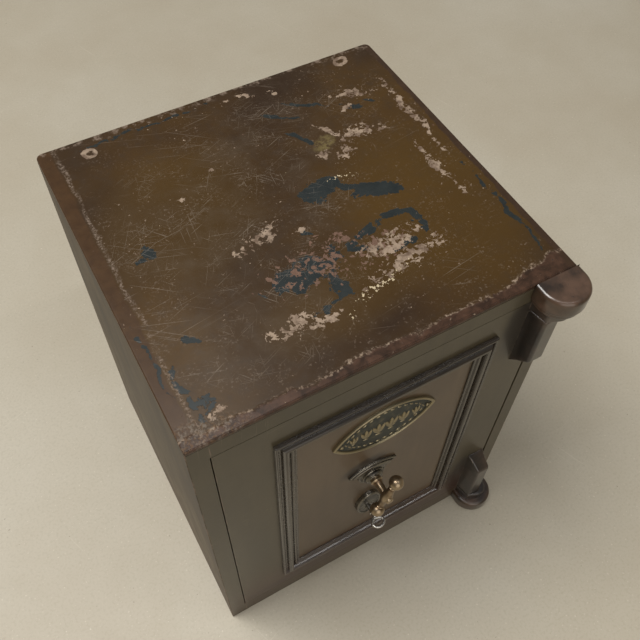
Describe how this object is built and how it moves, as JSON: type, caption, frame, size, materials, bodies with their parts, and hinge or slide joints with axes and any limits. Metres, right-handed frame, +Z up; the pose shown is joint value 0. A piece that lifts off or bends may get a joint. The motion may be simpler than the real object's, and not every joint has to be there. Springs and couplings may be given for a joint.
{
  "type": "fire-resisting document safe",
  "caption": "Small old fire-resisting safe with a brown top, an olive-brown door with a moulded panel, two cast hinges, a brass T-handle, an oval plate and a key.",
  "frame": {"origin": "middle of the 480 x 457 mm footprint of the box, on the floor", "axes": "+Z up, the door and front face -Y, +X to the right as the front is faced"},
  "size_m": [0.4835, 0.507, 0.61],
  "materials": {
    "body_paint": "satin old olive-brown enamel, rubbed and scratched",
    "top_paint": "dark brown lacquer over blue-grey metal, scuffed and chipped",
    "hinge_casting": "dark reddish-brown painted casting, worn at the rims",
    "brass": "aged brass with dark hollows",
    "bronze": "dark patinated bronze, rubbed on its edges",
    "steel": "dull oiled steel",
    "nickel": "worn nickel plate",
    "filling": "pale dry powdery fire-resisting compound"
  },
  "bodies": {
    "body": {"top_plate": "top_paint", "bottom_plate": "body_paint", "left_side_plate": "body_paint", "right_side_plate": "body_paint", "back_plate": "body_paint", "frame_left_stile": "body_paint", "frame_right_stile": "body_paint", "frame_head": "body_paint", "frame_sill": "body_paint", "door_stop_left": "body_paint", "door_stop_right": "body_paint", "door_stop_head": "body_paint", "door_stop_sill": "body_paint", "filling_left": "filling", "filling_right": "filling", "filling_top": "filling", "filling_bottom": "filling", "filling_back": "filling", "liner_top": "body_paint", "liner_bottom": "body_paint", "liner_left": "body_paint", "liner_right": "body_paint", "liner_back": "body_paint", "shelf": "body_paint", "shelf_ledge_left": "body_paint", "shelf_ledge_right": "body_paint", "upper_hinge_ear": "hinge_casting", "lower_hinge_ear": "hinge_casting", "upper_hinge_pin": "steel", "lower_hinge_pin": "steel"},
    "door": {"door_plate": "body_paint", "moulding_top": "body_paint", "moulding_right": "body_paint", "moulding_bottom": "body_paint", "moulding_left": "body_paint", "name_plate": "brass", "name_plate_screw_left": "brass", "name_plate_screw_right": "brass", "upper_hinge_arm": "hinge_casting", "lower_hinge_arm": "hinge_casting", "handle_rose": "bronze", "keyhole_plate": "bronze", "pan_left": "steel", "pan_right": "steel", "pan_top": "steel", "pan_bottom": "steel", "pan_cover": "steel", "lower_fixed_dog": "steel", "middle_fixed_dog": "steel", "upper_fixed_dog": "steel", "lock_case": "steel"},
    "bolt_work": {"bolt_bar": "steel", "lower_bolt": "steel", "middle_bolt": "steel", "upper_bolt": "steel"},
    "handle": {"handle_grip": "brass", "handle_spindle": "steel"},
    "lock_bolt": {"lock_bolt": "brass"},
    "key": {"key": "nickel"}
  },
  "joints": [
    {"name": "door_hinge", "type": "hinge", "parent": "body", "child": "door", "pos_m": [0.213, -0.245, 0.305], "axis": [0, 0, 1], "range_deg": [0, 170]},
    {"name": "bolt_slide", "type": "slide", "parent": "door", "child": "bolt_work", "axis": [-1, 0, 0], "range_m": [0, 0.022]},
    {"name": "handle_turn", "type": "hinge", "parent": "door", "child": "handle", "pos_m": [-0.008, -0.2285, 0.313], "axis": [0, -1, 0], "range_deg": [0, 71]},
    {"name": "lock_bolt_slide", "type": "slide", "parent": "door", "child": "lock_bolt", "axis": [0, 0, 1], "range_m": [0, 0.01]},
    {"name": "key_turn", "type": "hinge", "parent": "door", "child": "key", "pos_m": [-0.007, -0.2285, 0.201], "axis": [0, -1, 0], "range_deg": [0, 90]}
  ],
  "couplings": [
    {"joint": "handle_turn", "follows": "bolt_slide", "rad_per_m": 56.13},
    {"joint": "key_turn", "follows": "lock_bolt_slide", "rad_per_m": 157}
  ]
}
